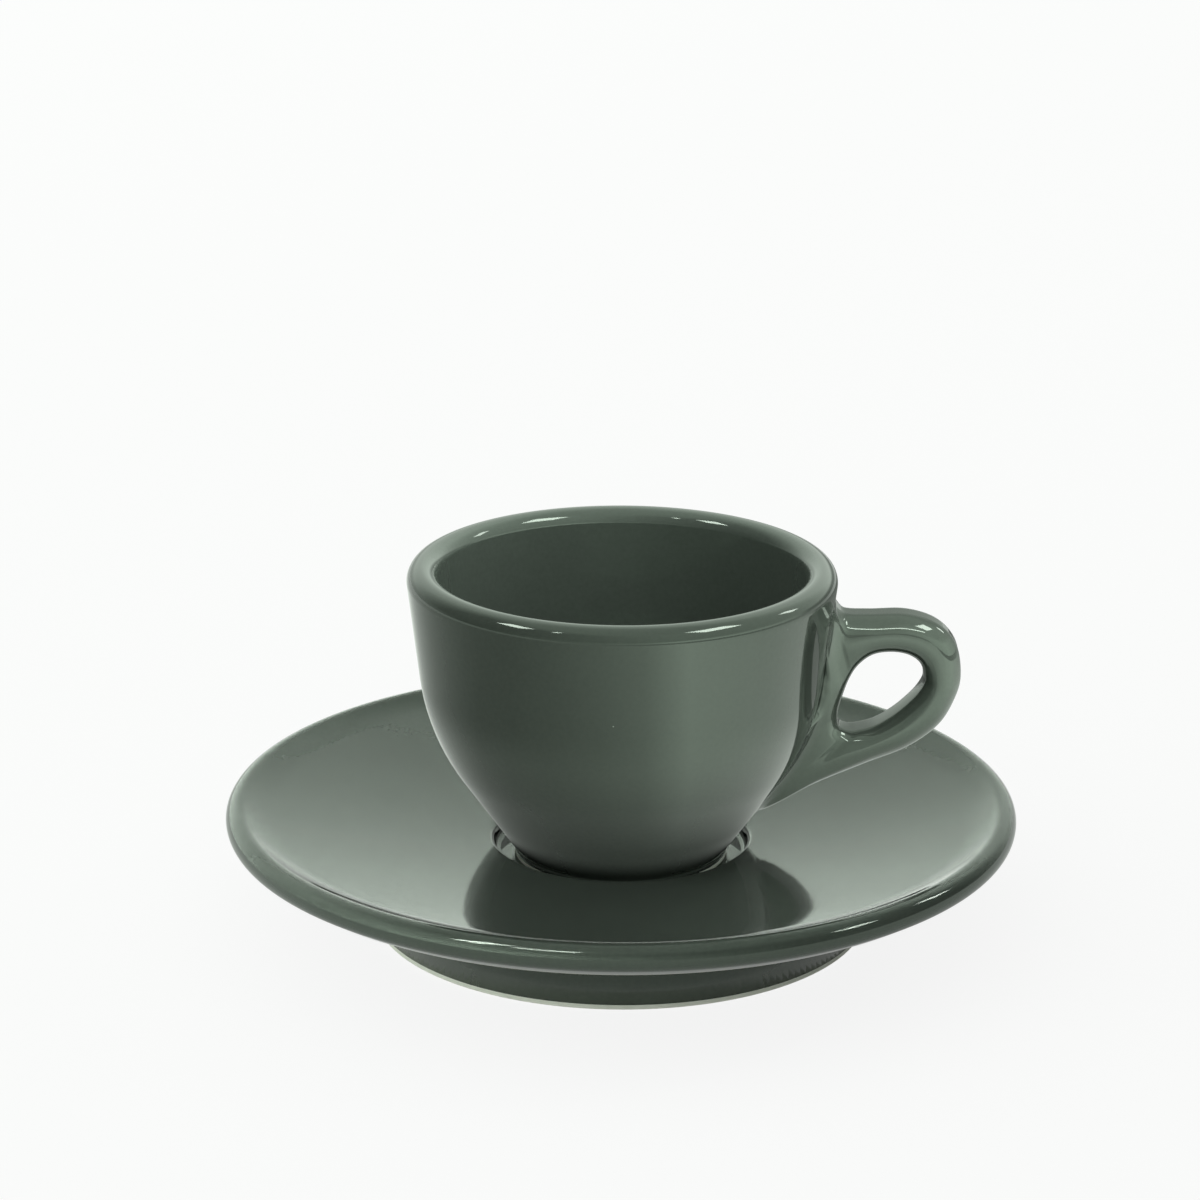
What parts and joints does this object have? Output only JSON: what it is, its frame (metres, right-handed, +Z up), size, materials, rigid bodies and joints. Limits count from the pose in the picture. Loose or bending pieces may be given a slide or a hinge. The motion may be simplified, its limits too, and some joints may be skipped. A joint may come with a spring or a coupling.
{
  "type": "espresso cup and saucer",
  "caption": "Small thick-walled espresso cup with a pierced loop handle, standing in the recessed well of a round saucer, both in glossy dark green glaze.",
  "frame": {"origin": "middle of the saucer's foot, on the plane that it stands on", "axes": "+Z up along the axis that cup and saucer are turned round; +X from that axis towards the handle; +Y to the left of the handle seen from the cup's axis"},
  "size_m": [0.12, 0.12, 0.056],
  "materials": {
    "green_glaze": "glossy dark green glaze, slightly uneven, with a few pinholes",
    "bare_clay": "bare fired clay, matt and pale"
  },
  "bodies": {
    "saucer": {"saucer_dish": "green_glaze", "saucer_foot_ring": "bare_clay"},
    "cup": {"cup_bowl": "green_glaze", "cup_foot_ring": "bare_clay", "cup_handle": "green_glaze"}
  },
  "joints": [
    {"name": "cup_lift", "type": "slide", "parent": "saucer", "child": "cup", "axis": [0, 0, 1], "range_m": [0, 0.06]}
  ]
}
